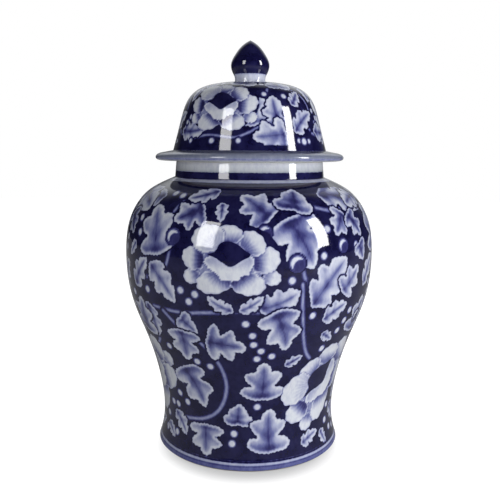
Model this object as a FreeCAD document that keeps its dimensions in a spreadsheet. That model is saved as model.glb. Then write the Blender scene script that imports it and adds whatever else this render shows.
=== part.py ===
"""Ginger jar with a lift-off domed lid.

All sizes are millimetres.  The origin is the centre of the foot on the table,
+Z is up and is also the axis every piece is turned about.

The jar is made of sections of clay joined while soft and fired together:
body_lower, body_upper and neck_ring.  The loose lid is lid_dome with its
finial, and lid_collar is the locating ring that hangs inside the neck.
"""

import FreeCAD, Part
import os
import Sketcher

SHEET = "Sizes"

# alias, value, what it measures.  "ctrl" marks a control point of a curve.
SIZES = [
    ("wall", 5.0, "thickness of the body and lid walls"),
    # foot
    ("foot_r", 76.2, "outer radius of the foot"),
    ("foot_rim", 9.5, "width of the ring the jar stands on"),
    ("foot_recess", 5.0, "depth of the hollow under the floor"),
    ("foot_bevel", 1.2, "bevel on both edges of the foot ring"),
    ("floor_z", 12.0, "top of the floor inside"),
    ("floor_r", 60.0, "radius where the flat floor turns into the wall"),
    # outline of the lower section, foot to belly
    ("waist_r", 69.3, "ctrl, narrow part above the foot"),
    ("waist_z", 20.4, "ctrl"),
    ("flank_r", 74.2, "ctrl, flank"),
    ("flank_z", 60.0, "ctrl"),
    ("swell_r", 87.5, "ctrl, where the flank swells"),
    ("swell_z", 99.4, "ctrl"),
    ("belly_r", 101.6, "radius of the belly, the widest part"),
    ("belly_low_z", 130.4, "ctrl, below the belly joint"),
    ("belly_z", 160.0, "joint between lower and upper section"),
    # outline of the upper section, belly to neck
    ("belly_high_z", 184.2, "ctrl, above the belly joint"),
    ("shoulder_r", 88.7, "ctrl, shoulder"),
    ("shoulder_z", 208.2, "ctrl"),
    ("slope_r", 76.9, "ctrl, slope up to the neck"),
    ("slope_z", 214.8, "ctrl"),
    # neck
    ("neck_root_r", 61.0, "outer radius at the root of the neck"),
    ("neck_root_z", 221.5, "joint between shoulder and neck"),
    ("neck_top_r", 60.0, "outer radius at the rim"),
    ("mouth_r", 55.5, "inner radius of the neck"),
    ("rim_z", 234.2, "top of the neck, seat of the lid"),
    ("rim_bevel", 0.8, "eased edges of the rim"),
    # locating ring under the lid
    ("collar_r", 53.8, "outer radius at the top"),
    ("collar_taper", 0.9, "how much narrower it is at the bottom"),
    ("collar_wall", 4.2, "thickness"),
    ("collar_depth", 15.0, "how far it hangs into the neck"),
    ("collar_gap", 0.3, "clearance between ring and lid"),
    ("collar_ease", 1.0, "eased lower edges"),
    # brim of the lid
    ("brim_flat_r", 66.0, "outer edge of the flat underside"),
    ("lip_low_r", 72.4, "ctrl, rounded lower edge of the lip"),
    ("lip_r", 77.2, "ctrl, lip"),
    ("lip_low_z", 235.2, "ctrl"),
    ("lip_mid_r", 76.6, "ctrl, lip"),
    ("lip_mid_z", 239.4, "ctrl"),
    ("lip_top_r", 72.6, "ctrl, rounded upper edge of the lip"),
    ("lip_top_z", 240.8, "ctrl"),
    ("brim_top_r", 69.0, "start of the sloping top of the brim"),
    ("brim_top_z", 241.3, "height there"),
    # dome of the lid
    ("dome_r", 62.4, "radius where the dome meets the brim"),
    ("dome_z", 242.6, "height there"),
    ("dome1_r", 57.4, "ctrl, side of the dome"),
    ("dome1_z", 260.5, "ctrl"),
    ("dome2_r", 53.9, "ctrl, side of the dome"),
    ("dome2_z", 277.8, "ctrl"),
    ("dome3_r", 45.6, "ctrl, where the dome turns over"),
    ("dome3_z", 290.4, "ctrl"),
    ("dome4_r", 32.8, "ctrl, crown"),
    ("dome4_z", 295.3, "ctrl"),
    ("crown_r", 13.5, "radius of the flat the finial stands on"),
    ("crown_z", 296.8, "height of that flat"),
    # finial
    ("stem_r", 12.6, "radius at the foot of the finial"),
    ("stem1_r", 11.7, "ctrl, waist of the stem"),
    ("stem1_z", 300.6, "ctrl"),
    ("bud1_r", 13.9, "ctrl, lower side of the bud"),
    ("bud1_z", 303.6, "ctrl"),
    ("bud2_r", 16.6, "ctrl, widest part of the bud"),
    ("bud2_z", 311.0, "ctrl"),
    ("bud3_r", 12.4, "ctrl, upper side of the bud"),
    ("bud3_z", 319.0, "ctrl"),
    ("bud4_r", 6.2, "ctrl, near the tip"),
    ("bud4_z", 327.2, "ctrl"),
    ("tip_z", 330.0, "overall height"),
]


class Length:
    """A length with the sheet expression that drives it."""

    def __init__(self, value, text):
        self.value = value
        self.text = text

    def __add__(self, other):
        return Length(self.value + other.value, "%s + %s" % (self.text, other.text))

    def __sub__(self, other):
        return Length(self.value - other.value, "%s - (%s)" % (self.text, other.text))


AXIS = None  # radius of a corner on the axis
TABLE = None  # height of a corner on the table


def make_sheet(doc):
    sheet = doc.addObject("Spreadsheet::Sheet", SHEET)
    sheet.set("A1", "name")
    sheet.set("B1", "mm")
    sheet.set("C1", "meaning")
    lengths = {}
    for row, (alias, value, meaning) in enumerate(SIZES, start=2):
        sheet.set("A%d" % row, alias)
        sheet.set("B%d" % row, "%g" % value)
        sheet.set("C%d" % row, meaning)
        sheet.setAlias("B%d" % row, alias)
        lengths[alias] = Length(value, "%s.%s" % (SHEET, alias))
    doc.recompute()
    return lengths


def vector(corner):
    radius, height = [0.0 if length is None else length.value for length in corner]
    return FreeCAD.Vector(radius, height, 0)


def pin(sketch, geometry, point, corner, name):
    """Tie one point of the sketch to its radius and height in the sheet."""
    for length, kind, axis, suffix in zip(corner, ("DistanceX", "DistanceY"), (-2, -1), "rz"):
        if length is None:
            sketch.addConstraint(Sketcher.Constraint("PointOnObject", geometry, point, axis))
        else:
            index = sketch.addConstraint(
                Sketcher.Constraint(kind, -1, 1, geometry, point, length.value))
            label = "%s_%s" % (name, suffix)
            sketch.renameConstraint(index, label)
            sketch.setExpression("Constraints." + label, length.text)


def clamped_curve(points):
    """Cubic B-spline that starts and ends on its first and last control point."""
    spans = len(points) - 3
    knots = [i / spans for i in range(spans + 1)]
    mults = [4] + [1] * (spans - 1) + [4]
    curve = Part.BSplineCurve()
    curve.buildFromPolesMultsKnots(points, mults, knots, False, 3)
    return curve


def turned_piece(doc, name, edges):
    """Body turned about Z from a closed outline of radius and height.

    An edge is a list of corners.  Two corners make a straight edge, more
    are the control points of a smooth curve.  Each edge starts where the
    one before it ends, and the last one closes the outline.
    """
    body = doc.addObject("PartDesign::Body", name)
    sketch = body.newObject("Sketcher::SketchObject", name + "_outline")
    plane = [f for f in body.Origin.OriginFeatures if f.Role == "XZ_Plane"][0]
    sketch.AttachmentSupport = [(plane, "")]
    sketch.MapMode = "FlatFace"

    indices = []
    for number, corners in enumerate(edges):
        points = [vector(corner) for corner in corners]
        if len(points) == 2:
            index = sketch.addGeometry(Part.LineSegment(*points), False)
            pin(sketch, index, 1, corners[0], "p%d" % number)
        else:
            index = sketch.addGeometry(clamped_curve(points), False)
            for place, corner in enumerate(corners):
                circle = Part.Circle(vector(corner), FreeCAD.Vector(0, 0, 1), 1.0)
                handle = sketch.addGeometry(circle, True)
                sketch.addConstraint([
                    Sketcher.Constraint("Weight", handle, 1.0),
                    Sketcher.Constraint("InternalAlignment:Sketcher::BSplineControlPoint",
                                        handle, 3, index, place)])
                if place < len(corners) - 1:
                    pin(sketch, handle, 3, corner, "p%d_%d" % (number, place))
        indices.append(index)
    for this, following in zip(indices, indices[1:] + indices[:1]):
        sketch.addConstraint(Sketcher.Constraint("Coincident", this, 2, following, 1))

    turn = body.newObject("PartDesign::Revolution", name + "_turned")
    turn.Profile = sketch
    turn.ReferenceAxis = (sketch, ["V_Axis"])
    turn.Angle = 360
    sketch.Visibility = False
    doc.recompute()
    return body


def make_body_lower(doc, s):
    foot_inner = s["foot_r"] - s["foot_rim"]
    belly_inner = s["belly_r"] - s["wall"]
    return turned_piece(doc, "body_lower", [
        [(AXIS, s["foot_recess"]), (foot_inner, s["foot_recess"])],
        [(foot_inner, s["foot_recess"]), (foot_inner, s["foot_bevel"])],
        [(foot_inner, s["foot_bevel"]), (foot_inner + s["foot_bevel"], TABLE)],
        [(foot_inner + s["foot_bevel"], TABLE), (s["foot_r"] - s["foot_bevel"], TABLE)],
        [(s["foot_r"] - s["foot_bevel"], TABLE), (s["foot_r"], s["foot_bevel"])],
        [(s["foot_r"], s["foot_bevel"]), (s["waist_r"], s["waist_z"]),
         (s["flank_r"], s["flank_z"]), (s["swell_r"], s["swell_z"]),
         (s["belly_r"], s["belly_low_z"]), (s["belly_r"], s["belly_z"])],
        [(s["belly_r"], s["belly_z"]), (belly_inner, s["belly_z"])],
        [(belly_inner, s["belly_z"]), (belly_inner, s["belly_low_z"]),
         (s["swell_r"] - s["wall"], s["swell_z"]),
         (s["flank_r"] - s["wall"], s["flank_z"]),
         (s["waist_r"] - s["wall"], s["waist_z"]), (s["floor_r"], s["floor_z"])],
        [(s["floor_r"], s["floor_z"]), (AXIS, s["floor_z"])],
        [(AXIS, s["floor_z"]), (AXIS, s["foot_recess"])],
    ])


def make_body_upper(doc, s):
    belly_inner = s["belly_r"] - s["wall"]
    return turned_piece(doc, "body_upper", [
        [(belly_inner, s["belly_z"]), (s["belly_r"], s["belly_z"])],
        [(s["belly_r"], s["belly_z"]), (s["belly_r"], s["belly_high_z"]),
         (s["shoulder_r"], s["shoulder_z"]), (s["slope_r"], s["slope_z"]),
         (s["neck_root_r"], s["neck_root_z"])],
        [(s["neck_root_r"], s["neck_root_z"]), (s["mouth_r"], s["neck_root_z"])],
        [(s["mouth_r"], s["neck_root_z"]), (s["mouth_r"], s["neck_root_z"] - s["wall"])],
        [(s["mouth_r"], s["neck_root_z"] - s["wall"]),
         (s["slope_r"], s["slope_z"] - s["wall"]),
         (s["shoulder_r"] - s["wall"], s["shoulder_z"] - s["wall"]),
         (belly_inner, s["belly_high_z"]), (belly_inner, s["belly_z"])],
    ])


def make_neck_ring(doc, s):
    rim_side = s["rim_z"] - s["rim_bevel"]
    return turned_piece(doc, "neck_ring", [
        [(s["mouth_r"], s["neck_root_z"]), (s["neck_root_r"], s["neck_root_z"])],
        [(s["neck_root_r"], s["neck_root_z"]), (s["neck_top_r"], rim_side)],
        [(s["neck_top_r"], rim_side), (s["neck_top_r"] - s["rim_bevel"], s["rim_z"])],
        [(s["neck_top_r"] - s["rim_bevel"], s["rim_z"]),
         (s["mouth_r"] + s["rim_bevel"], s["rim_z"])],
        [(s["mouth_r"] + s["rim_bevel"], s["rim_z"]), (s["mouth_r"], rim_side)],
        [(s["mouth_r"], rim_side), (s["mouth_r"], s["neck_root_z"])],
    ])


def make_lid_dome(doc, s):
    opening = s["collar_r"] - s["collar_wall"]
    ledge_z = s["brim_top_z"] - s["wall"]
    wall = s["wall"]
    return turned_piece(doc, "lid_dome", [
        [(opening, s["rim_z"]), (s["brim_flat_r"], s["rim_z"])],
        [(s["brim_flat_r"], s["rim_z"]), (s["lip_low_r"], s["rim_z"]),
         (s["lip_r"], s["lip_low_z"]), (s["lip_mid_r"], s["lip_mid_z"]),
         (s["lip_top_r"], s["lip_top_z"]), (s["brim_top_r"], s["brim_top_z"])],
        [(s["brim_top_r"], s["brim_top_z"]), (s["dome_r"], s["dome_z"])],
        [(s["dome_r"], s["dome_z"]), (s["dome1_r"], s["dome1_z"]),
         (s["dome2_r"], s["dome2_z"]), (s["dome3_r"], s["dome3_z"]),
         (s["dome4_r"], s["dome4_z"]), (s["crown_r"], s["crown_z"])],
        [(s["crown_r"], s["crown_z"]), (AXIS, s["crown_z"])],
        [(AXIS, s["crown_z"]), (AXIS, s["crown_z"] - wall)],
        [(AXIS, s["crown_z"] - wall), (s["crown_r"], s["crown_z"] - wall)],
        [(s["crown_r"], s["crown_z"] - wall), (s["dome4_r"], s["dome4_z"] - wall),
         (s["dome3_r"] - wall, s["dome3_z"] - wall), (s["dome2_r"] - wall, s["dome2_z"]),
         (s["dome1_r"] - wall, s["dome1_z"]), (s["dome_r"] - wall, s["dome_z"])],
        [(s["dome_r"] - wall, s["dome_z"]), (opening, ledge_z)],
        [(opening, ledge_z), (opening, s["rim_z"])],
    ])


def make_lid_collar(doc, s):
    top = s["rim_z"] - s["collar_gap"]
    bottom = s["rim_z"] - s["collar_depth"]
    inner = s["collar_r"] - s["collar_wall"]
    outer_low = s["collar_r"] - s["collar_taper"]
    ease = s["collar_ease"]
    return turned_piece(doc, "lid_collar", [
        [(inner + ease, bottom), (outer_low - ease, bottom)],
        [(outer_low - ease, bottom), (outer_low, bottom + ease)],
        [(outer_low, bottom + ease), (s["collar_r"], top)],
        [(s["collar_r"], top), (inner, top)],
        [(inner, top), (inner, bottom + ease)],
        [(inner, bottom + ease), (inner + ease, bottom)],
    ])


def make_finial(doc, s):
    return turned_piece(doc, "finial", [
        [(AXIS, s["crown_z"]), (s["stem_r"], s["crown_z"])],
        [(s["stem_r"], s["crown_z"]), (s["stem1_r"], s["stem1_z"]),
         (s["bud1_r"], s["bud1_z"]), (s["bud2_r"], s["bud2_z"]),
         (s["bud3_r"], s["bud3_z"]), (s["bud4_r"], s["bud4_z"]), (AXIS, s["tip_z"])],
        [(AXIS, s["tip_z"]), (AXIS, s["crown_z"])],
    ])


def check(doc, bodies):
    for item in doc.Objects:
        if "Invalid" in item.State or "Error" in item.State:
            raise RuntimeError("%s is %s" % (item.Label, item.State))
    for body in bodies:
        if body.Shape.isNull() or not body.Shape.isValid():
            raise RuntimeError(body.Label + " has no valid shape")
        if len(body.Shape.Solids) != 1:
            raise RuntimeError(body.Label + " is not one solid")


def main():
    doc = FreeCAD.newDocument("ginger_jar")
    sizes = make_sheet(doc)
    makers = (make_body_lower, make_body_upper, make_neck_ring,
              make_lid_dome, make_lid_collar, make_finial)
    bodies = [make(doc, sizes) for make in makers]
    doc.recompute()
    check(doc, bodies)

    os.makedirs("parts", exist_ok=True)
    for body in bodies:
        body.Shape.exportStep("parts/%s.step" % body.Label)
        box = body.Shape.BoundBox
        print("%-11s z %7.2f to %7.2f, radius %6.2f, volume %8.0f mm3"
              % (body.Label, box.ZMin, box.ZMax, box.XMax, body.Shape.Volume))


main()
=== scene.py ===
"""Ginger jar in hand-painted blue and white porcelain.

Every piece is turned about Z from its own outline.  Painted pieces carry three
numbers on each vertex: "edge", the distance in millimetres to the outline of
the nearest painted shape (positive inside it); "ink", how much cobalt lies
there; and "pool", how much painted shade darkens and greys the colour there.
The glaze material turns them into colour.

Outlines and painting are in millimetres, and angles in degrees from the front.
"""

import math
import random

import bpy
import numpy as np
from mathutils import Matrix


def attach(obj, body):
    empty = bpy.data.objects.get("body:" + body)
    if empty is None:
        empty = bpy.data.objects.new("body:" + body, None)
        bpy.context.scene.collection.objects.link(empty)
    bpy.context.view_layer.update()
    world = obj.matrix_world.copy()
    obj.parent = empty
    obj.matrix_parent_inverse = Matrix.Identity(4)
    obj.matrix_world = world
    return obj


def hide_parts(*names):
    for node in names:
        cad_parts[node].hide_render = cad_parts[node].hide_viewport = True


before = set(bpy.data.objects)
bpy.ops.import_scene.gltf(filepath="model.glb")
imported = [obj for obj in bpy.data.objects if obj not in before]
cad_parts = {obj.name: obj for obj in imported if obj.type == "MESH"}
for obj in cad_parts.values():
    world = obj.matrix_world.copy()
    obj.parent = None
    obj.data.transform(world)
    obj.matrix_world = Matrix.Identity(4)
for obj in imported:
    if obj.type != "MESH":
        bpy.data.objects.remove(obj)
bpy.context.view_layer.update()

MM = 0.001
RNG = random.Random(7)

# ---------------------------------------------------------------- outlines
# Sizes as in the solid model.  Outlines are (radius, height) control points.

WALL = 5.0
FOOT_R, FOOT_RIM, FOOT_BEVEL, FOOT_RECESS = 76.2, 9.5, 1.2, 5.0
FLOOR_R, FLOOR_Z = 60.0, 12.0
BELLY_R, BELLY_Z = 101.6, 160.0
NECK_ROOT_R, NECK_ROOT_Z = 61.0, 221.5
NECK_TOP_R, MOUTH_R = 60.0, 55.5
RIM_SIDE_Z, RIM_Z, RIM_BEVEL = 233.4, 234.2, 0.8
COLLAR_R, COLLAR_TAPER, COLLAR_INNER_R = 53.8, 0.9, 49.6
COLLAR_BOTTOM_Z, COLLAR_TOP_Z, COLLAR_EASE = 219.2, 233.9, 1.0
BRIM_FLAT_R, BRIM_TOP, LEDGE_Z = 66.0, (69.0, 241.3), 236.3
DOME_R, DOME_Z = 62.4, 242.6
CROWN_R, CROWN_Z = 13.5, 296.8
STEM_R, TIP_Z = 12.6, 330.0

FOOT_TO_BELLY = [(FOOT_R, FOOT_BEVEL), (69.3, 20.4), (74.2, 60), (87.5, 99.4),
                 (BELLY_R, 130.4), (BELLY_R, BELLY_Z)]
BELLY_TO_NECK = [(BELLY_R, BELLY_Z), (BELLY_R, 184.2), (88.7, 208.2), (76.9, 214.8),
                 (NECK_ROOT_R, NECK_ROOT_Z)]
BELLY_TO_FLOOR = [(BELLY_R - WALL, BELLY_Z), (BELLY_R - WALL, 130.4), (82.5, 99.4), (69.2, 60),
                  (64.3, 20.4), (FLOOR_R, FLOOR_Z)]
NECK_TO_BELLY_INSIDE = [(MOUTH_R, NECK_ROOT_Z - WALL), (76.9, 209.8), (83.7, 203.2),
                        (BELLY_R - WALL, 184.2), (BELLY_R - WALL, BELLY_Z)]
LIP = [(BRIM_FLAT_R, RIM_Z), (72.4, RIM_Z), (77.2, 235.2), (76.6, 239.4), (72.6, 240.8), BRIM_TOP]
DOME = [(DOME_R, DOME_Z), (57.4, 260.5), (53.9, 277.8), (45.6, 290.4), (32.8, 295.3),
        (CROWN_R, CROWN_Z)]
DOME_INSIDE = [(CROWN_R, CROWN_Z - WALL), (32.8, 290.3), (40.6, 285.4), (48.9, 277.8),
               (52.4, 260.5), (DOME_R - WALL, DOME_Z)]
FINIAL = [(STEM_R, CROWN_Z), (11.7, 300.6), (13.9, 303.6), (16.6, 311), (12.4, 319), (6.2, 327.2),
          (0, TIP_Z)]


def curve(points, count=400):
    """Points along the clamped cubic B-spline of these control points."""
    points = np.array(points, float)
    spans = len(points) - 3
    knots = np.concatenate([[0] * 3, np.linspace(0, spans, spans + 1), [spans] * 3])
    t = np.linspace(0, spans - 1e-9, count)
    basis = [((t >= knots[i]) & (t < knots[i + 1])).astype(float) for i in range(len(knots) - 1)]
    for degree in range(1, 4):
        raised = []
        for i in range(len(basis) - 1):
            left = knots[i + degree] - knots[i]
            right = knots[i + degree + 1] - knots[i + 1]
            value = 0 * t
            if left > 0:
                value = value + (t - knots[i]) / left * basis[i]
            if right > 0:
                value = value + (knots[i + degree + 1] - t) / right * basis[i + 1]
            raised.append(value)
        basis = raised
    return np.stack(basis, 1) @ points


def even(points, step):
    """The same line with its points about one step apart."""
    points = np.array(points, float)
    run = np.concatenate([[0], np.cumsum(np.hypot(*np.diff(points, axis=0).T))])
    count = max(2, int(round(run[-1] / step)) + 1)
    at = np.linspace(0, run[-1], count)
    return np.stack([np.interp(at, run, points[:, k]) for k in (0, 1)], 1)


def chain(*lines):
    """Lines joined end to end, without doubled corners."""
    joined = list(lines[0])
    for line in lines[1:]:
        same = np.hypot(*(np.array(joined[-1]) - line[0])) < 1e-6
        joined.extend(line[1:] if same else line)
    return np.array(joined, float)


# ---------------------------------------------------------------- painting

def smooth(low, high, value):
    """0 up to low, 1 from high, with a soft step between; low may be the larger."""
    t = np.clip((value - low) / (high - low), 0, 1)
    return t * t * (3 - 2 * t)


def segment_distance(x, y, a, b):
    """Distance from each point to the segment, and how far along it the nearest point is."""
    dx, dy = b[0] - a[0], b[1] - a[1]
    t = np.clip(((x - a[0]) * dx + (y - a[1]) * dy) / max(dx * dx + dy * dy, 1e-9), 0, 1)
    return np.hypot(x - a[0] - t * dx, y - a[1] - t * dy), t


def toothed(outline, pitch, depth):
    """The same closed outline with a rounded tooth every pitch."""
    step = np.roll(outline, -1, 0) - outline
    length = np.hypot(*step.T)
    run = np.cumsum(length) - length
    normal = np.stack([step[:, 1], -step[:, 0]], 1) / np.maximum(length, 1e-9)[:, None]
    turns = np.sum(step[:, 0] * np.roll(step[:, 1], -1) - step[:, 1] * np.roll(step[:, 0], -1))
    lift = depth * (np.abs(np.sin(math.pi * run / pitch)) - 0.5)
    return outline + normal * lift[:, None] * (1 if turns > 0 else -1)


def inside_distance(x, y, outline):
    """Signed distance to a closed outline, positive inside."""
    nearest = np.full(x.shape, 1e9)
    inside = np.zeros(x.shape, bool)
    for a, b in zip(outline, np.roll(outline, -1, 0)):
        nearest = np.minimum(nearest, segment_distance(x, y, a, b)[0])
        if a[1] != b[1]:
            crosses = (a[1] > y) != (b[1] > y)
            inside ^= crosses & (x < (b[0] - a[0]) * (y - a[1]) / (b[1] - a[1]) + a[0])
    return np.where(inside, nearest, -nearest)


def rounded(points, closed=True, each=6):
    """Catmull-Rom curve through given points."""
    p = np.array(points, float)
    count = len(p)
    out = []
    for i in range(count if closed else count - 1):
        if closed:
            a, b, c, d = (p[(i + k) % count] for k in (-1, 0, 1, 2))
        else:
            a, b, c, d = (p[min(max(i + k, 0), count - 1)] for k in (-1, 0, 1, 2))
        for s in np.linspace(0, 1, each, endpoint=False):
            out.append(0.5 * (2 * b + (c - a) * s + (2 * a - 5 * b + 4 * c - d) * s ** 2
                              + (3 * b - a - 3 * c + d) * s ** 3))
    if not closed:
        out.append(p[-1])
    return np.array(out)


REPEATS = 3
BARE = -9.0
FIRST, LAST = -9, 999  # past either end of any outline
SPILL = 0.6  # how far the ink runs on past its edge, so a ragged edge stays blue


class Canvas:
    """The painted outside of a turned shape, as rows of vertices round the axis."""

    def __init__(self, outline, columns):
        self.radius, self.height = outline[:, 0], outline[:, 1]
        self.run = np.concatenate([[0], np.cumsum(np.hypot(*np.diff(outline, axis=0).T))])
        self.angle = np.arange(columns) * 2 * math.pi / columns
        self.edge = np.full((len(self.run), columns), BARE)
        self.ink = np.zeros((len(self.run), columns))
        # painted shade on each vertex, 0 for none
        self.pool = np.zeros((len(self.run), columns))

    def at(self, height):
        """Distance along the outline at this height."""
        return float(np.interp(height, self.height, self.run))

    def spot(self, place, turn):
        """A given (angle, height) in one of the repeats, as (angle, run)."""
        return place[0] + turn * 360 / REPEATS, self.at(place[1])

    def window(self, angle, run, reach):
        """Rows, columns and flat local coordinates, in mm, of the vertices near a spot."""
        rows = np.nonzero(np.abs(self.run - run) < reach)[0]
        if not len(rows):
            return None
        span = reach / max(self.radius[rows].min(), 4)
        turn = (self.angle - math.radians(angle) + math.pi) % (2 * math.pi) - math.pi
        columns = np.nonzero(np.abs(turn) < span)[0]
        x = turn[columns][None, :] * self.radius[rows][:, None]
        y = (self.run[rows] - run)[:, None] + 0 * x
        return np.ix_(rows, columns), x, y

    def put(self, where, sd, ink, gap):
        """Lay a shape on top, with a rim of bare ground this wide round it."""
        self.edge[where] = np.maximum(sd, np.minimum(self.edge[where], -sd - gap))
        self.ink[where] = np.where(sd > -SPILL, ink, self.ink[where])

    def offset(self, start, end):
        """Flat local vector, in mm, between two (angle, run) spots."""
        radius = np.interp(end[1], self.run, self.radius)
        return math.radians(end[0] - start[0]) * radius, end[1] - start[1]

    def band(self, low, high, ink):
        """A plain painted ring between two heights along the outline."""
        sd = np.minimum(self.run - low, high - self.run)[:, None] + 0 * self.edge
        self.edge = np.maximum(sd, np.minimum(self.edge, -sd))
        self.ink = np.where(sd > -SPILL, ink, self.ink)

    def clear(self, low, high):
        """Bare dark ground between two heights along the outline."""
        sd = np.minimum(self.run - low, high - self.run)[:, None] + 0 * self.edge
        self.edge = np.minimum(self.edge, -sd)

    def paint_shade(self, low, high, at_low, at_high):
        """Painted shade: greyer, darker colour between two heights along the outline, going from at_low to
        at_high.
        """
        shown = (self.run > low) & (self.run < high)
        self.pool[shown] = np.interp(self.run[shown], (low, high), (at_low, at_high))[:, None]


# One side of each leaf, base at 0 and tip at 1, with the tips of its lobes.
LEAVES = {
    "broad": ([(0, 0), (0.02, 0.16), (0.06, 0.36), (0.20, 0.50), (0.33, 0.40), (0.38, 0.24),
               (0.50, 0.36), (0.66, 0.42), (0.75, 0.28), (0.77, 0.17), (0.90, 0.14)],
              [(0.10, 0.16, 0.40), (0.34, 0.62, 0.36)]),
    "slender": ([(0, 0), (0.06, 0.09), (0.16, 0.21), (0.30, 0.25), (0.37, 0.16), (0.46, 0.25),
                 (0.60, 0.25), (0.67, 0.15), (0.78, 0.17), (0.91, 0.09)],
                [(0.12, 0.27, 0.19), (0.40, 0.57, 0.18)]),
    "heart": ([(0, 0), (-0.05, 0.16), (-0.02, 0.40), (0.16, 0.54), (0.36, 0.50), (0.46, 0.38),
               (0.66, 0.32), (0.84, 0.16)],
              [(0.12, 0.14, 0.42), (0.36, 0.44, 0.30)]),
}


LEAF_TOOTH, LEAF_TOOTH_DEPTH = 3.4, 0.75  # pitch and height of the teeth round a leaf


def leaf(canvas, kind, base, tip, width=1.0, bend=0.0, gap=1.3, load=1.0):
    """A lobed leaf, white at the margin and washed with blue along its veins."""
    reach_x, reach_y = canvas.offset(base, tip)
    length = math.hypot(reach_x, reach_y)
    cos, sin = reach_x / length, reach_y / length
    found = canvas.window(base[0], base[1], length * 1.25 + 4)
    if found is None:
        return
    where, px, py = found
    x = (px * cos + py * sin) / length
    y = (py * cos - px * sin) / length
    y = y - bend * 4 * x * (1 - x)

    side, lobes = LEAVES[kind]

    def wobble():
        return RNG.uniform(-0.025, 0.025)

    upper = [(u + wobble(), v * width * (1 + 2 * wobble())) for u, v in side[1:]]
    lower = [(u + wobble(), -v * width * (1 + 2 * wobble())) for u, v in side[:0:-1]]
    outline = rounded([(0, 0)] + upper + [(1, 0)] + lower, each=8)
    outline = toothed(outline, LEAF_TOOTH / length, LEAF_TOOTH_DEPTH / length)
    sd = inside_distance(x, y, outline) * length

    mid = np.abs(y) * length
    vein = np.full(x.shape, 1e9)
    for start, end, out in lobes:
        for sign in (1, -1):
            far = (end, sign * out * width)
            vein = np.minimum(vein, segment_distance(x, y, (start, 0), far)[0] * length)
    broad = max(side, key=lambda p: p[1])[1] * width * length
    load *= RNG.uniform(0.88, 1.15)
    stripe = broad * (0.12 + 0.20 * np.clip(1 - x, 0, 1))
    wash = 0.44 * np.exp(-(mid / (1.25 * stripe)) ** 2) * smooth(1.02, 0.72, x) + 0.08
    wash += 0.16 * np.exp(-(vein / (0.18 * broad)) ** 2) + 0.18 * smooth(0.02, 0.30, y / width)
    wash += 0.22 * np.clip(1 - 4 * x, 0, 1)
    line = 0.12 * np.exp(-(mid / 0.6) ** 2) * smooth(0, 4, sd)
    ink = np.clip(load * wash * smooth(0.2, 0.10 * broad + 1.5, sd) + line, 0.02, 0.85)
    canvas.put(where, sd, ink, gap)


def over(canvas, where, sd, ink, line=0.0, thick=1.0):
    """Lay a shape over what is painted, with a line of wash where it overlaps."""
    below = canvas.edge[where] > 0
    rim = below & (sd <= 0) & (sd > -thick)
    canvas.ink[where] = np.where(rim, np.maximum(canvas.ink[where], line * smooth(-thick, 0, sd)),
                                 canvas.ink[where])
    canvas.ink[where] = np.where((sd > 0) | ((sd > -0.8) & ~below), ink, canvas.ink[where])
    canvas.edge[where] = np.maximum(sd, canvas.edge[where])


# Petals of a peony, from the back to the front: centre, half width and half
# height, turn, and the load of blue towards the heart.
PETALS = [
    (-28, -12, 6.2, 5.4, 10, 0.34), (29.5, -12, 6.2, 5.2, -12, 0.26),
    (-11, -15.5, 12.8, 8.0, 12, 0.46), (12.5, -16, 12.0, 8.0, -10, 0.50),
    (-26.5, 0.5, 8.8, 7.6, -24, 0.52), (24.5, 0.5, 10.2, 8.8, 14, 0.46),
    (15.5, 12.2, 9.6, 7.4, -38, 0.36), (-1.0, 18.2, 9.4, 6.4, -4, 0.34),
    (-16.0, 15.0, 11.6, 9.2, 14, 0.14),
]
PEONY_SPREAD = 1.35  # how much wider than high
HEART_DEPTH = -3  # too shallow for a bead
PEONY_HEART = [(-16.5, 4), (-10.5, 5.8), (-7, 11.8), (-1, 13.2), (5, 11.4), (10, 7.6), (14.5, 4),
               (8, 0), (1, -4.2), (-5, -1.6), (-10, 1.6)]
PEONY_CUP = [(-18.5, 0), (-16, -5), (-11.5, -8.2), (-9, -9.4), (-6, -13.2), (0, -14.4), (6, -13.4),
             (8, -10.6), (13, -9.8), (15, -5.6), (17.2, 0), (14, 3.6), (8, 0), (1, -4), (-5, -1.4),
             (-12, 3)]


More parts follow.
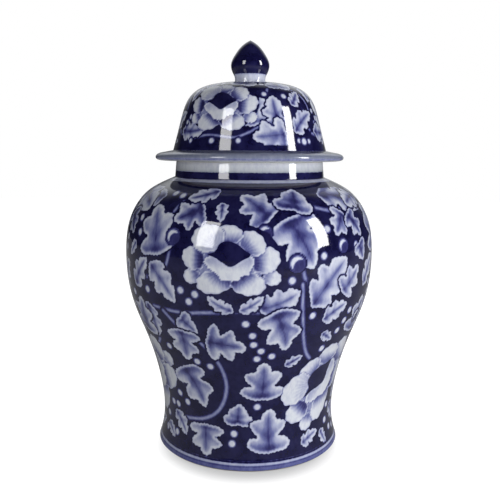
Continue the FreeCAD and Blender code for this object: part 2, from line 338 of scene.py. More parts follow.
def flower(canvas, spot, scale=1.0, turn=0, wash=1.0):
    """An open peony: two rows of petals and a cup round a dark heart.

    A wash above 1 shades the petals more.
    """
    where, px, py = canvas.window(spot[0], spot[1], 42 * scale)
    c, s = math.cos(math.radians(turn)), math.sin(math.radians(turn))
    x, y = (px * c + py * s) / scale, (py * c - px * s) / scale
    cleared = (np.hypot(x / PEONY_SPREAD, y + 0.5) - 27) * scale
    canvas.edge[where] = np.minimum(canvas.edge[where], cleared)
    over(canvas, where, (19 - np.hypot(x / PEONY_SPREAD, y)) * scale, 0.40)
    for cx, cy, wide, high, lean, load in PETALS:
        phi = np.linspace(0, 2 * math.pi, 72, endpoint=False)
        lobe = 1 + 0.10 * np.abs(np.sin(phi * 4.5 + RNG.uniform(0, 3)))
        a, b = math.cos(math.radians(lean)), math.sin(math.radians(lean))
        ox, oy = wide * lobe * np.cos(phi), high * lobe * np.sin(phi)
        outline = np.stack([cx + ox * a - oy * b, cy + ox * b + oy * a], 1)
        sd = inside_distance(x, y, outline)
        away = math.hypot(cx, cy)
        outward = ((x - cx) * cx + (y - cy) * cy) / away / (0.5 * (wide + high))
        fan = np.arctan2(y - 0.4 * cy, x - 0.4 * cx)
        streak = 0.05 * np.sin(fan * 30) * smooth(0.8, -0.4, outward)
        ink = 1.35 * wash * load * smooth(0.42, -0.80, outward) + streak
        ink = np.clip(ink * smooth(-0.2, 1.8, sd), 0.02, 0.9)
        over(canvas, where, sd * scale, ink, 0.50, 1.5)
    sd = inside_distance(x, y, toothed(rounded(PEONY_CUP, each=6), 4.2, 0.5))
    ink = np.clip(0.26 * smooth(-9, 1, y) * smooth(0, 2.5, sd), 0.02, 0.6)
    over(canvas, where, sd * scale, ink, 0.56, 2.6)
    sd = inside_distance(x, y, rounded(PEONY_HEART, each=5)) * scale
    canvas.edge[where] = np.minimum(canvas.edge[where], np.maximum(-sd, HEART_DEPTH))


BEAD_R = 3.7
LEAF_IN_ROOM = 0.86  # how much of a bare patch a leaf takes


def bead(canvas, spot, size=1.0):
    """A white bead in a thin ring of blue wash."""
    where, x, y = canvas.window(spot[0], spot[1], 7 * size)
    away = np.hypot(x, y)
    ink = 0.05 + 0.62 * smooth(2.0 * size, 3.3 * size, away)
    canvas.put(where, BEAD_R * size - away, ink, 0.6)


def berry(canvas, spot, size=1.0):
    """A round berry, nearly as dark as the ground, with a white glint on its shoulder."""
    where, x, y = canvas.window(spot[0], spot[1], 10 * size)
    away = np.hypot(x, y)
    glint = np.minimum(5.0 * size - away, np.hypot(x - 2.4 * size, y + 2.7 * size) - 4.9 * size)
    ring = 0.12 * smooth(0.9, 0.2, np.abs(away - 5.7 * size))
    ink = 0.80 - ring - 0.76 * smooth(-0.2, 0.8, glint)
    canvas.put(where, 6.3 * size - away, ink, 0.5)


def fill_gaps(canvas, low, high, tries, least, leafy=7.4):
    """Beads, and small leaves, wherever the scroll has left a bare patch.

    A patch takes a bead from least to leafy millimetres of room each way, and a
    leaf from there up.
    """
    rows = np.nonzero((canvas.run > low) & (canvas.run < high))[0]
    for _ in range(tries):
        row = rows[RNG.randrange(len(rows))]
        column = RNG.randrange(len(canvas.angle))
        room = -canvas.edge[row, column]
        spot = (math.degrees(canvas.angle[column]), canvas.run[row])
        if room > leafy:
            aim, reach = RNG.uniform(0, 2 * math.pi), room * LEAF_IN_ROOM
            across = math.degrees(reach * math.cos(aim) / canvas.radius[row])
            start = (spot[0] - across, spot[1] - reach * math.sin(aim))
            end = (spot[0] + across, spot[1] + reach * math.sin(aim))
            leaf(canvas, RNG.choice(("slender", "heart")), start, end, 1.15, 0.0, 0.8)
        elif room > least:
            bead(canvas, spot, min((room - 0.9) / BEAD_R, 0.95))


def vine(canvas, spots, width, gap=0.8):
    """A stem: blue with a paler line along it, through given (angle, height) spots."""
    spots = [(angle, canvas.at(height)) for angle, height in spots]
    line = rounded(spots, closed=False, each=9)
    sd_all = np.full(canvas.edge.shape, -99.0)
    ink_all = np.zeros(canvas.edge.shape)
    for a, b in zip(line, line[1:]):
        found = canvas.window(a[0], a[1], 12 + width)
        if found is None:
            continue
        where, x, y = found
        distance, _ = segment_distance(x, y, (0, 0), canvas.offset(a, b))
        sd = width / 2 - distance
        ink = 0.36 + 0.44 * smooth(0.10, 0.42, distance / width)
        ink_all[where] = np.where(sd > sd_all[where], ink, ink_all[where])
        sd_all[where] = np.maximum(sd_all[where], sd)
    near = sd_all > -20
    canvas.edge = np.where(near, np.maximum(sd_all, np.minimum(canvas.edge, -sd_all - gap)), canvas.edge)
    canvas.ink = np.where(sd_all > -SPILL, ink_all, canvas.ink)


# ---------------------------------------------------------------- the scroll
# One third of the way round: the same peony scroll is repeated three times,
# each time drawn afresh, so no two are quite alike.

# (angle, height), size, turn and how strongly the petals are shaded
BODY_FLOWERS = [((-7.5, 167.5), 1.0, 0, 1.25), ((47.5, 66), 1.16, 50, 1.15)]

BODY_VINES = [
    [(-46, 128), (-30, 127), (-18, 129), (-4, 131), (8, 131), (18, 137), (23, 148), (22, 160)],
    [(22, 150), (23, 130), (26, 108), (31, 92), (40, 84), (55, 88), (69, 98), (74, 116)],
    [(-40, 126), (-32, 114), (-21, 101), (-14, 84), (-12, 66), (-17, 48), (-28, 38), (-46, 34)],
    [(-33, 206), (-36, 196), (-34, 176), (-37, 158), (-46, 150), (-57, 152)],
    [(14, 208), (28, 204), (40, 200), (52, 203), (66, 210)],
]

# kind, base, tip, width, bend
BODY_LEAVES = [
    ("broad", (16, 196), (27, 161), 1.00, 0.05),
    ("slender", (27, 132), (45, 166), 1.20, 0.04),
    ("slender", (4, 133), (21, 145), 1.25, -0.06),
    ("broad", (11, 131), (18, 99), 0.92, 0.06),
    ("broad", (9, 195), (-4, 211), 1.10, -0.05),
    ("heart", (20, 201), (24, 215), 1.25, 0.0),
    ("slender", (37, 211), (66, 199), 1.05, 0.08),
    ("broad", (47, 199), (39, 183), 1.00, 0.0),
    ("broad", (50, 197), (58, 180), 0.90, 0.0),
    ("broad", (-42, 167), (-48, 203), 1.05, -0.05),
    ("slender", (-46, 161), (-32, 134), 1.15, 0.05),
    ("broad", (-20, 203), (-34, 193), 1.05, 0.0),
    ("slender", (-15, 214), (-31, 208), 1.10, 0.05),
    ("slender", (-47, 209), (-66, 203), 1.20, -0.05),
    ("slender", (-51, 130), (-50, 102), 1.20, 0.06),
    ("heart", (-31, 123), (-23, 112), 0.95, 0.0),
    ("slender", (34, 120), (48, 131), 1.20, 0.05),
    ("broad", (60, 103), (64, 132), 1.00, 0.0),
    ("slender", (61, 140), (72, 164), 1.10, 0.05),
    ("broad", (-32, 113), (-33, 87), 1.05, 0.0),
    ("broad", (-20, 106), (-1, 102), 1.10, 0.0),
    ("broad", (-38, 80), (-26, 48), 0.90, 0.08),
    ("broad", (8, 57), (8, 89), 1.05, 0.0),
    ("heart", (-6, 36), (-5, 54), 1.15, 0.0),
    ("broad", (14, 13), (13, 49), 0.96, 0.05),
    ("broad", (-27, 34), (-26, 9), 1.25, 0.0),
    ("slender", (-53, 37), (-42, 20), 1.20, 0.05),
    ("slender", (35, 15), (50, 22), 1.10, 0.05),
    ("slender", (-6, 131), (-17, 141), 0.90, 0.05),
    ("slender", (-4, 131), (6, 142), 0.90, -0.05),
    ("broad", (43, 140), (54, 158), 0.90, 0.0),
]

# (angle, height), size
BODY_BERRIES = [((-33, 182), 1.05), ((19.5, 165), 1.1), ((6.5, 187), 0.85), ((43, 175), 0.95),
                ((-58, 116), 0.9)]

HIGH_LEAVES_Z, SHOULDER_SHADE_LOAD = 185, 1.3  # leaves that start above this are bluer, as painted shade on the upward-facing shoulder
GROUND_LOW_Z, GROUND_HIGH_Z = 8.2, 215.2
NECK_WHITE_Z = 226.2


def paint_vines(canvas, vines, pick_width):
    for turn in range(REPEATS):
        for line in vines:
            spots = [(angle + turn * 360 / REPEATS, height) for angle, height in line]
            vine(canvas, spots, pick_width())


def paint_flowers(canvas, flowers):
    for turn in range(REPEATS):
        for place, size, lean, wash in flowers:
            flower(canvas, canvas.spot(place, turn), size, lean, wash)


def paint_body(canvas):
    ground_low, ground_high = canvas.at(GROUND_LOW_Z), canvas.at(GROUND_HIGH_Z)
    paint_vines(canvas, BODY_VINES, lambda: RNG.uniform(4.4, 5.2))
    for turn in range(REPEATS):
        for kind, base, tip, width, bend in BODY_LEAVES:
            # painted shade: leaves high on the shoulder take a heavier load of blue
            load = SHOULDER_SHADE_LOAD if base[1] > HIGH_LEAVES_Z else 1.0
            leaf(canvas, kind, canvas.spot(base, turn), canvas.spot(tip, turn), width,
                 bend + RNG.uniform(-0.02, 0.02), load=load)
        for place, size in BODY_BERRIES:
            berry(canvas, canvas.spot(place, turn), size * RNG.uniform(0.95, 1.03))
    paint_flowers(canvas, BODY_FLOWERS)
    fill_gaps(canvas, ground_low + 5, ground_high - 5, tries=3000, least=4.3, leafy=8.6)

    # lines round the foot
    canvas.clear(FIRST, ground_low)
    canvas.band(canvas.at(7.2), canvas.at(7.9), 0.55)
    canvas.band(canvas.at(4.4), canvas.at(6.3), 0.10)
    canvas.band(FIRST, canvas.at(4.4), 0.57)
    # the dark root of the neck with a white line, then the white of the neck
    canvas.clear(ground_high, canvas.at(NECK_WHITE_Z))
    canvas.band(canvas.at(218.9), canvas.at(221.0), 0.14)
    canvas.band(canvas.at(NECK_WHITE_Z), LAST, 0.02)
    # painted shade: the white of the neck turns greyer and darker towards the bottom of its band
    canvas.paint_shade(canvas.at(NECK_WHITE_Z), canvas.at(231.5), 0.80, 0.0)


LID_FLOWERS = [((-24, 276), 0.80, 0, 1.5)]

LID_VINES = [
    [(-66, 256), (-48, 252), (-30, 254), (-12, 252), (0, 256), (12, 262), (30, 258), (46, 262), (54, 256)],
    [(50, 262), (56, 274), (50, 285), (36, 290)],
    [(12, 262), (12, 276), (16, 288)],
]

LID_LEAVES = [
    ("broad", (2, 260), (0, 287), 0.85, 0.0),
    ("slender", (24, 258), (19, 283), 1.45, 0.05),
    ("broad", (28, 255), (2, 252.5), 1.0, 0.0),
    ("slender", (35, 256), (57, 272), 1.15, 0.05),
    ("slender", (-63, 258), (-34, 259), 1.05, -0.05),
    ("slender", (36, 276), (48, 287), 1.30, 0.0),
    ("heart", (30, 289), (34, 295.3), 1.10, 0.0),
    ("heart", (-8, 291), (-2, 295.6), 1.10, 0.0),
    ("heart", (66, 291), (72, 295.6), 1.10, 0.0),
    ("heart", (-54, 289), (-60, 280), 1.10, 0.0),
]

LID_BEADS = [
    ((-28, 249.6), 0.75), ((-8, 249.6), 0.75), ((38, 250), 0.75), ((48, 249.8), 0.7), ((-48, 249.8), 0.7),
    ((29, 270), 0.75), ((12, 284), 0.7), ((-54, 268), 0.75), ((62, 264), 0.7),
    ((12, 292), 0.7), ((-34, 293), 0.7), ((50, 293.4), 0.7),
]

LID_VINE_WIDTH = 3.4
LIP_UNDERSIDE = 10.5  # along the outline, from the flat underside of the brim
# how low the pale wash and painted reflection on the crown reach
CROWN_WASH_AND_SHEEN_Z = 294.0
BUD_WHITE_Z = 303.0


def paint_lid(canvas):
    paint_vines(canvas, LID_VINES, lambda: LID_VINE_WIDTH)
    for turn in range(REPEATS):
        for kind, base, tip, width, bend in LID_LEAVES:
            leaf(canvas, kind, canvas.spot(base, turn), canvas.spot(tip, turn), width,
                 bend + RNG.uniform(-0.02, 0.02), gap=1.0)
        for place, size in LID_BEADS:
            bead(canvas, canvas.spot(place, turn), size * RNG.uniform(0.92, 1.05))
    paint_flowers(canvas, LID_FLOWERS)
    fill_gaps(canvas, canvas.at(249.5), canvas.at(294), tries=1500, least=3.4)

    dome_foot = canvas.at(DOME_Z)
    canvas.clear(dome_foot, canvas.at(246.4))
    canvas.band(FIRST, LIP_UNDERSIDE, 0.03)
    canvas.band(LIP_UNDERSIDE, dome_foot, 0.28)
    # painted shade: the brim's pale blue wash is made greyer and darker, most towards the lip
    canvas.paint_shade(LIP_UNDERSIDE + 0.6, dome_foot, 0.75, 0.6)
    # painted reflection: the pale wash round the stem also stands in for the sheen the crown mirrors
    canvas.band(canvas.at(CROWN_WASH_AND_SHEEN_Z), LAST, 0.30)


def paint_finial(canvas):
    canvas.band(FIRST, canvas.at(BUD_WHITE_Z), 0.10)


# ---------------------------------------------------------------- meshes

PAINT, GLAZE, BISCUIT = 0, 1, 2
SHARP_EDGE = 32


def turned(name, parts, columns, canvas=None, first_row=0):
    """A closed mesh turned about Z.

    parts is a list of (points, finish) that together make a closed line.  The
    first part is the painted outside when there is a canvas, whose rows start
    at first_row.
    """
    line = chain(*[points for points, _ in parts])
    finishes = []
    for points, finish in parts:
        finishes += [finish] * (len(points) - 1)
    if np.allclose(line[0], line[-1]):
        line = line[:-1]
    else:
        finishes.append(parts[-1][1])
    on_axis = line[:, 0] < 1e-6
    angle = np.arange(columns) * 2 * math.pi / columns

    rows, coordinates = [], []
    count = 0
    for (radius, height), pole in zip(line, on_axis):
        if pole:
            coordinates.append([[0, 0, height]])
            rows.append(np.full(columns, count))
            count += 1
        else:
            ring = np.stack([radius * np.sin(angle), -radius * np.cos(angle), 0 * angle + height], 1)
            coordinates.append(ring)
            rows.append(np.arange(count, count + columns))
            count += columns
    vertices = np.concatenate(coordinates) * MM
    rows.append(rows[0])

    faces, slots = [], []
    for finish, a, b in zip(finishes, rows, rows[1:]):
        if a[0] == a[1] and b[0] == b[1]:
            continue
        corners = [a, np.roll(a, -1), np.roll(b, -1), b]
        if a[0] == a[1]:
            corners.pop(1)
        if b[0] == b[1]:
            corners.pop(2)
        faces.append(np.stack(corners, 1))
        slots.append(np.full(columns, finish))

    volume = 0.0
    for quad in faces:
        for k in range(1, quad.shape[1] - 1):
            p, q, r = vertices[quad[:, 0]], vertices[quad[:, k]], vertices[quad[:, k + 1]]
            volume += np.einsum("ij,ij->", p, np.cross(q, r))
    if volume < 0:
        faces = [quad[:, ::-1] for quad in faces]

    mesh = bpy.data.meshes.new(name)
    mesh.from_pydata(vertices.tolist(), [], [f for quad in faces for f in quad.tolist()])
    mesh.polygons.foreach_set("material_index", np.concatenate(slots).astype(np.int32))
    mesh.polygons.foreach_set("use_smooth", np.ones(len(mesh.polygons), bool))
    if canvas is not None:
        painted = len(parts[0][0])
        for label, blank in (("edge", 9.0), ("ink", 0.03), ("pool", 0.0)):
            values = np.full(len(vertices), blank, np.float32)
            shown = getattr(canvas, label)[first_row:first_row + painted]
            start = 0
            for k in range(painted):
                size = 1 if on_axis[k] else columns
                values[start:start + size] = shown[k][:size]
                start += size
            mesh.attributes.new(label, "FLOAT", "POINT").data.foreach_set("value", values)
    mesh.set_sharp_from_angle(angle=math.radians(SHARP_EDGE))
    mesh.update()
    piece = bpy.data.objects.new(name, mesh)
    bpy.context.scene.collection.objects.link(piece)
    return piece


def straight(a, b, step=3.0):
    return even([a, b], step)


def straights(corners, finish):
    """Parts for a run of straight lines in one finish."""
    return [(straight(a, b), finish) for a, b in zip(corners, corners[1:])]


# ---------------------------------------------------------------- finishes

class Nodes:
    """Short hand for building a node tree."""

    def __init__(self, tree):
        self.tree = tree

    def add(self, kind, **settings):
        node = self.tree.nodes.new(kind)
        for key, value in settings.items():
            setattr(node, key, value)
        return node

    def link(self, source, target):
        self.tree.links.new(source, target)

    def math(self, operation, a, b=0.0, clamp=False):
        node = self.add("ShaderNodeMath", operation=operation, use_clamp=clamp)
        for socket, value in zip(node.inputs, (a, b)):
            if isinstance(value, (int, float)):
                socket.default_value = value
            else:
                self.link(value, socket)
        return node.outputs[0]

    def around_zero(self, noise, amount):
        """A 0 to 1 noise, moved to swing either side of zero."""
        return self.math("MULTIPLY", self.math("SUBTRACT", noise, 0.5), amount)

    def between(self, value, low, high, to_low=0.0, to_high=1.0):
        node = self.add("ShaderNodeMapRange", interpolation_type="SMOOTHSTEP")
        self.link(value, node.inputs["Value"])
        for key, number in (("From Min", low), ("From Max", high), ("To Min", to_low), ("To Max", to_high)):
            node.inputs[key].default_value = number
        return node.outputs["Result"]

    def attribute(self, name):
        return self.add("ShaderNodeAttribute", attribute_name=name).outputs["Fac"]

    def ramp(self, value, stops):
        node = self.add("ShaderNodeValToRGB")
        elements = node.color_ramp.elements
        while len(elements) < len(stops):
            elements.new(0.5)
        for element, (position, colour) in zip(elements, stops):
            element.position = position
            element.color = (*colour, 1)
        self.link(value, node.inputs["Fac"])
        return node.outputs["Color"]

    def bump(self, height, distance, strength, under=None):
        node = self.add("ShaderNodeBump")
        node.inputs["Strength"].default_value = strength
        node.inputs["Distance"].default_value = distance
        self.link(height, node.inputs["Height"])
        if under is not None:
            self.link(under, node.inputs["Normal"])
        return node.outputs["Normal"]


class Finish(Nodes):
    """A new material and its node tree."""

    def __init__(self, name):
        self.material = bpy.data.materials.new(name)
        self.material.use_nodes = True
        super().__init__(self.material.node_tree)
        self.shader = self.tree.nodes["Principled BSDF"]
        self.where = self.add("ShaderNodeTexCoord").outputs["Object"]

    def noise(self, scale, detail=2.0, roughness=0.5, stretch=None):
        node = self.add("ShaderNodeTexNoise")
        node.inputs["Scale"].default_value = scale
        node.inputs["Detail"].default_value = detail
        node.inputs["Roughness"].default_value = roughness
        if stretch:
            mapping = self.add("ShaderNodeMapping")
            mapping.inputs["Scale"].default_value = stretch
            self.link(self.where, mapping.inputs["Vector"])
            self.link(mapping.outputs["Vector"], node.inputs["Vector"])
        else:
            self.link(self.where, node.inputs["Vector"])
        return node.outputs["Fac"]


# Cobalt under glaze, from bare white to the heaviest brush load (linear RGB).
COBALT = [
    (0.00, (0.77, 0.80, 0.875)),
    (0.22, (0.46, 0.49, 0.68)),
    (0.48, (0.165, 0.185, 0.42)),
    (0.72, (0.052, 0.052, 0.20)),
    (1.00, (0.0036, 0.0030, 0.033)),
]
# The dark grey-green that painted shade multiplies the colour towards.
PAINTED_SHADE_GREY = (0.43, 0.46, 0.42)


def glaze_surface(n):
    """The skin of the glaze: slow waves from the wheel and brush, and a fine orange peel."""
    waves = n.bump(n.noise(70, 2.0, 0.5, (1, 1, 2.2)), 0.0006, 0.10)
    peel = n.bump(n.noise(700, 1.0), 0.00005, 0.12, waves)
    n.link(peel, n.shader.inputs["Normal"])
    n.link(n.between(n.noise(160, 3.0), 0.3, 0.75, 0.035, 0.08), n.shader.inputs["Roughness"])
    n.shader.inputs["IOR"].default_value = 1.6


def painted_porcelain():
    """Brushed cobalt inside the painted shapes, pooled nearly black in the ground round them, and painted
    shade that darkens and greys the colour where the vertices carry it.
    """
    n = Finish("painted_porcelain")
    ragged = n.around_zero(n.noise(420, 3.0, 0.6), 0.9)
    edge = n.math("ADD", n.attribute("edge"), ragged)
    shape = n.between(edge, -0.20, 0.25)
    bleed = n.between(edge, 0.0, 1.6, 0.16, 0.0)
    stroke = n.around_zero(n.noise(330, 4.0, 0.65, (1, 1, 0.45)), 0.34)
    ink = n.math("ADD", n.math("ADD", n.attribute("ink"), bleed), stroke, clamp=True)
    pooled = n.between(n.noise(95, 4.0, 0.6), 0.30, 0.72, 0.935, 1.0)
    mix = n.add("ShaderNodeMix", data_type="FLOAT")
    n.link(shape, mix.inputs["Factor"])
    n.link(pooled, mix.inputs["A"])
    n.link(ink, mix.inputs["B"])
    # Painted shade: the third vertex number multiplies the colour towards a dark grey-green.
    grey = n.add("ShaderNodeMix", data_type="RGBA", blend_type="MULTIPLY")
    n.link(n.attribute("pool"), grey.inputs["Factor"])
    n.link(n.ramp(mix.outputs["Result"], COBALT), grey.inputs["A"])
    grey.inputs["B"].default_value = (*PAINTED_SHADE_GREY, 1)
    n.link(grey.outputs["Result"], n.shader.inputs["Base Color"])
    glaze_surface(n)
    return n.material


def white_glaze():
    n = Finish("white_glaze")
    cloud = n.math("MULTIPLY", n.noise(8, 1.0), 0.3)
    cloud = n.math("ADD", n.math("MULTIPLY", n.noise(25, 3.0), 0.7), cloud)
    tone = n.ramp(cloud, [(0.30, (0.66, 0.70, 0.70)), (0.70, (0.78, 0.80, 0.79))])
    n.link(tone, n.shader.inputs["Base Color"])
    glaze_surface(n)
    return n.material


def biscuit():
    n = Finish("bare_porcelain")
    speckle = n.math("MULTIPLY", n.noise(900, 2.0), 0.4)
    speckle = n.math("ADD", n.math("MULTIPLY", n.noise(60, 4.0), 0.6), speckle)
    tone = n.ramp(speckle, [(0.30, (0.52, 0.46, 0.38)), (0.70, (0.70, 0.66, 0.58))])
    n.link(tone, n.shader.inputs["Base Color"])
    n.link(n.between(n.noise(200, 2.0), 0.3, 0.7, 0.62, 0.82), n.shader.inputs["Roughness"])
    turning = n.bump(n.noise(90, 2.0, 0.5, (1, 1, 4)), 0.0004, 0.25)
    n.link(n.bump(n.noise(1500, 2.0), 0.0001, 0.35, turning), n.shader.inputs["Normal"])
    return n.material


FINISHES = [painted_porcelain(), white_glaze(), biscuit()]


def place(piece, body, node, slot):
    """Give a piece its finishes and hand it to the body that carries it."""
    for finish in FINISHES:
        piece.data.materials.append(finish)
    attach(piece, body)
    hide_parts(node)


# ---------------------------------------------------------------- the jar

# Vertices round each piece, and the spacing of their rows up its outside.
BODY_COLUMNS, LID_COLUMNS, FINIAL_COLUMNS = 600, 480, 160
BODY_ROW, LID_ROW, FINIAL_ROW = 1.0, 0.8, 0.5

lower_outside = even(curve(FOOT_TO_BELLY), BODY_ROW)
upper_outside = even(curve(BELLY_TO_NECK), BODY_ROW)
neck_outside = even([(NECK_ROOT_R, NECK_ROOT_Z), (NECK_TOP_R, RIM_SIDE_Z)], BODY_ROW)
body_canvas = Canvas(chain(lower_outside, upper_outside, neck_outside), BODY_COLUMNS)
paint_body(body_canvas)

foot_inner = FOOT_R - FOOT_RIM
jar_lower = turned("jar_lower", [
    (lower_outside, PAINT),
    (straight((BELLY_R, BELLY_Z), (BELLY_R - WALL, BELLY_Z)), BISCUIT),
    (even(curve(BELLY_TO_FLOOR), 4), GLAZE),
    (straight((FLOOR_R, FLOOR_Z), (0, FLOOR_Z), 6), GLAZE),
    (straight((0, FOOT_RECESS), (foot_inner, FOOT_RECESS), 6), GLAZE),
    (straight((foot_inner, FOOT_RECESS), (foot_inner, FOOT_BEVEL), 2), GLAZE),
] + straights([
    (foot_inner, FOOT_BEVEL), (foot_inner + FOOT_BEVEL, 0), (FOOT_R - FOOT_BEVEL, 0),
    (FOOT_R, FOOT_BEVEL),
], BISCUIT), BODY_COLUMNS, body_canvas)
place(jar_lower, "jar", "body_lower", "painted_porcelain")

jar_upper = turned("jar_upper", [
    (upper_outside, PAINT),
    (straight((NECK_ROOT_R, NECK_ROOT_Z), (MOUTH_R, NECK_ROOT_Z)), BISCUIT),
    (straight((MOUTH_R, NECK_ROOT_Z), (MOUTH_R, NECK_ROOT_Z - WALL)), GLAZE),
    (even(curve(NECK_TO_BELLY_INSIDE), 4), GLAZE),
    (straight((BELLY_R - WALL, BELLY_Z), (BELLY_R, BELLY_Z)), BISCUIT),
], BODY_COLUMNS, body_canvas, len(lower_outside) - 1)
place(jar_upper, "jar", "body_upper", "painted_porcelain")

rim_outer, rim_inner = (NECK_TOP_R - RIM_BEVEL, RIM_Z), (MOUTH_R + RIM_BEVEL, RIM_Z)
jar_neck = turned("jar_neck", [
    (neck_outside, PAINT),
    (straight((NECK_TOP_R, RIM_SIDE_Z), rim_outer), GLAZE),
    (straight(rim_outer, rim_inner), BISCUIT),
    (straight(rim_inner, (MOUTH_R, RIM_SIDE_Z)), GLAZE),
    (straight((MOUTH_R, RIM_SIDE_Z), (MOUTH_R, NECK_ROOT_Z)), GLAZE),
    (straight((MOUTH_R, NECK_ROOT_Z), (NECK_ROOT_R, NECK_ROOT_Z)), BISCUIT),
], BODY_COLUMNS, body_canvas, len(lower_outside) + len(upper_outside) - 2)
place(jar_neck, "jar", "neck_ring", "painted_porcelain")

# ---------------------------------------------------------------- the lid

lid_outside = chain(even(curve(LIP), LID_ROW), straight(BRIM_TOP, (DOME_R, DOME_Z), LID_ROW),
                    even(curve(DOME), LID_ROW))
lid_canvas = Canvas(lid_outside, LID_COLUMNS)
paint_lid(lid_canvas)

lid_dome = turned("lid_shell", [
    (lid_outside, PAINT),
    (straight((CROWN_R, CROWN_Z), (0, CROWN_Z), 4), PAINT),
    (straight((0, CROWN_Z - WALL), (CROWN_R, CROWN_Z - WALL), 4), GLAZE),
    (even(curve(DOME_INSIDE), 3), GLAZE),
    (straight((DOME_R - WALL, DOME_Z), (COLLAR_INNER_R, LEDGE_Z)), GLAZE),
    (straight((COLLAR_INNER_R, LEDGE_Z), (COLLAR_INNER_R, RIM_Z), 2), GLAZE),
    (straight((COLLAR_INNER_R, RIM_Z), (BRIM_FLAT_R, RIM_Z)), BISCUIT),
], LID_COLUMNS, lid_canvas)
place(lid_dome, "lid", "lid_dome", "painted_porcelain")

collar_low_r = COLLAR_R - COLLAR_TAPER
collar = turned("lid_locating_ring", straights([
    (COLLAR_INNER_R, COLLAR_TOP_Z), (COLLAR_R, COLLAR_TOP_Z),
    (collar_low_r, COLLAR_BOTTOM_Z + COLLAR_EASE), (collar_low_r - COLLAR_EASE, COLLAR_BOTTOM_Z),
    (COLLAR_INNER_R + COLLAR_EASE, COLLAR_BOTTOM_Z), (COLLAR_INNER_R, COLLAR_BOTTOM_Z + COLLAR_EASE),
    (COLLAR_INNER_R, COLLAR_TOP_Z),
], BISCUIT), LID_COLUMNS)
place(collar, "collar", "lid_collar", "bare_porcelain")

bud_outside = even(curve(FINIAL), FINIAL_ROW)
bud_canvas = Canvas(bud_outside, FINIAL_COLUMNS)
paint_finial(bud_canvas)
bud = turned("finial_bud", [
    (bud_outside, PAINT),
    (straight((0, CROWN_Z), (STEM_R, CROWN_Z), 4), BISCUIT),
], FINIAL_COLUMNS, bud_canvas)
place(bud, "lid", "finial", "cobalt_glaze")

# ---------------------------------------------------------------- the studio

WHITE = (1, 1, 1, 1)
TABLE_GREY = (0.18, 0.18, 0.18, 1)
PAPER_WHITE = (0.94, 0.97, 1.0, 1)
LAMP_AIM = np.array([0, 0, 0.2])

# name, azimuth, elevation, distance, width, height, radiance, only mirrored
LAMPS = [
    ("strip_left", -38, 22, 1.2, 0.33, 0.68, 6.6, True),
    ("strip_right", 67, 20, 1.2, 0.25, 0.71, 14, True),
    ("fill_left", -24, 5, 1.2, 0.38, 0.92, 4.6, False),
    ("fill_right", 66, 5, 1.2, 0.25, 0.92, 11, False),
    ("fill_low", 38, -4, 1.0, 1.2, 0.10, 6.4, False),
    ("fill_back", 180, 20, 1.4, 0.90, 0.90, 4.0, False),
]


def softbox(name, azimuth, elevation, distance, width, height, radiance, mirrored):
    """A rectangular lamp facing the jar, lighting it or only mirrored in its glaze.

    Azimuth 0 is behind the camera; distances are metres.
    """
    data = bpy.data.lights.new(name, "AREA")
    data.shape = "RECTANGLE"
    data.size, data.size_y = width, height
    data.energy = radiance * 4 * width * height
    lamp = bpy.data.objects.new(name, data)
    a, e = math.radians(azimuth), math.radians(elevation)
    away = np.array([math.sin(a) * math.cos(e), -math.cos(a) * math.cos(e), math.sin(e)])
    lamp.location = away * distance + LAMP_AIM
    lamp.rotation_euler = (math.radians(90) - e, 0, a)
    lamp.visible_camera = False
    lamp.visible_diffuse, lamp.visible_glossy = not mirrored, mirrored
    bpy.context.scene.collection.objects.link(lamp)


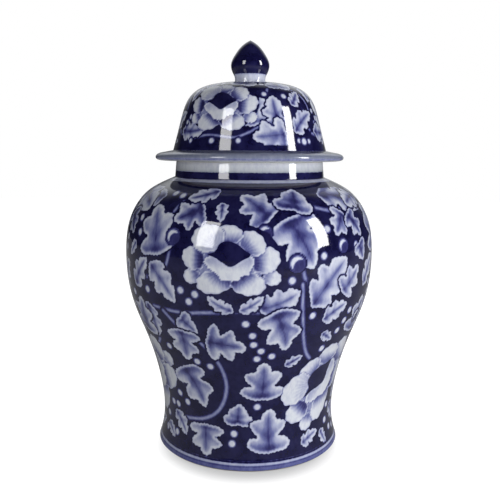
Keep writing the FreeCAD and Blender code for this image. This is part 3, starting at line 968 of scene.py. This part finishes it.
def paper_world():
    """White to the camera; for the glaze, dim in front with a paper sweep behind and above."""
    world = bpy.data.worlds.new("studio")
    bpy.context.scene.world = world
    world.use_nodes = True
    sky = Nodes(world.node_tree)
    axes = sky.add("ShaderNodeSeparateXYZ")
    sky.link(sky.add("ShaderNodeTexCoord").outputs["Generated"], axes.inputs[0])
    x, y, z = axes.outputs

    behind = sky.between(y, 0.25, 0.75)
    above = sky.between(z, 0.0, 0.5, 0.02, 1.1)
    to_the_right = sky.math("MULTIPLY", sky.between(x, 0.0, 0.1, 0.0, 0.45),
                            sky.between(y, 0.86, 0.98))
    ahead = sky.between(sky.math("ABSOLUTE", x), 0.75, 0.25)
    sweep = sky.math("MULTIPLY", sky.math("MULTIPLY", behind, above), ahead)
    paper = sky.math("MAXIMUM", sweep, to_the_right)

    path = sky.add("ShaderNodeLightPath")
    mirrored = sky.between(path.outputs["Is Glossy Ray"], 0, 1, 0.35, 1.0)
    strength = sky.math("ADD", sky.math("MULTIPLY", paper, mirrored), 0.015)
    backdrop = sky.tree.nodes["Background"]
    backdrop.inputs["Color"].default_value = PAPER_WHITE
    sky.link(strength, backdrop.inputs["Strength"])
    plain = sky.add("ShaderNodeBackground")
    plain.inputs["Color"].default_value = WHITE
    pick = sky.add("ShaderNodeMixShader")
    sky.link(path.outputs["Is Camera Ray"], pick.inputs[0])
    sky.link(backdrop.outputs[0], pick.inputs[1])
    sky.link(plain.outputs[0], pick.inputs[2])
    sky.link(pick.outputs[0], sky.tree.nodes["World Output"].inputs["Surface"])


def white_table():
    """A white table that fades into the white surroundings, with a soft shade round the foot."""
    bpy.ops.mesh.primitive_circle_add(vertices=96, radius=3.0, fill_type="NGON", location=(0, 0, -0.0002))
    table_top = bpy.context.object
    table_top.name = "table_top"
    n = Finish("white_table")
    n.shader.inputs["Base Color"].default_value = TABLE_GREY
    n.shader.inputs["Roughness"].default_value = 1.0
    n.shader.inputs["Specular IOR Level"].default_value = 0.0
    n.shader.inputs["Emission Color"].default_value = WHITE
    away = n.add("ShaderNodeVectorMath", operation="DISTANCE")
    n.link(n.where, away.inputs[0])
    away.inputs[1].default_value = (0, -0.018, 0)
    shade = n.between(away.outputs["Value"], 0.058, 0.084, 0.46, 1.0)
    path = n.add("ShaderNodeLightPath")
    strength = n.math("ADD", n.math("MULTIPLY", path.outputs["Is Glossy Ray"], 0.04),
                      n.math("ADD", path.outputs["Is Camera Ray"], 0.08))
    n.link(n.math("MULTIPLY", shade, strength), n.shader.inputs["Emission Strength"])
    table_top.data.materials.append(n.material)


for lamp in LAMPS:
    softbox(*lamp)
paper_world()
white_table()

# ---------------------------------------------------------------- the camera

CAMERA_PLACE = (0, -0.543, 0.2415)
PITCH, ROLL, YAW = math.radians(8.58), math.radians(0.4), math.radians(-0.09)

camera_data = bpy.data.cameras.new("camera")
camera_data.lens = 46.92
camera_data.sensor_width = 36
camera = bpy.data.objects.new("camera", camera_data)
bpy.context.scene.collection.objects.link(camera)
camera.matrix_world = (Matrix.Translation(CAMERA_PLACE) @ Matrix.Rotation(YAW, 4, "Z")
                       @ Matrix.Rotation(math.pi / 2 - PITCH, 4, "X") @ Matrix.Rotation(ROLL, 4, "Z"))
bpy.context.scene.camera = camera
bpy.context.scene.view_settings.view_transform = "Standard"
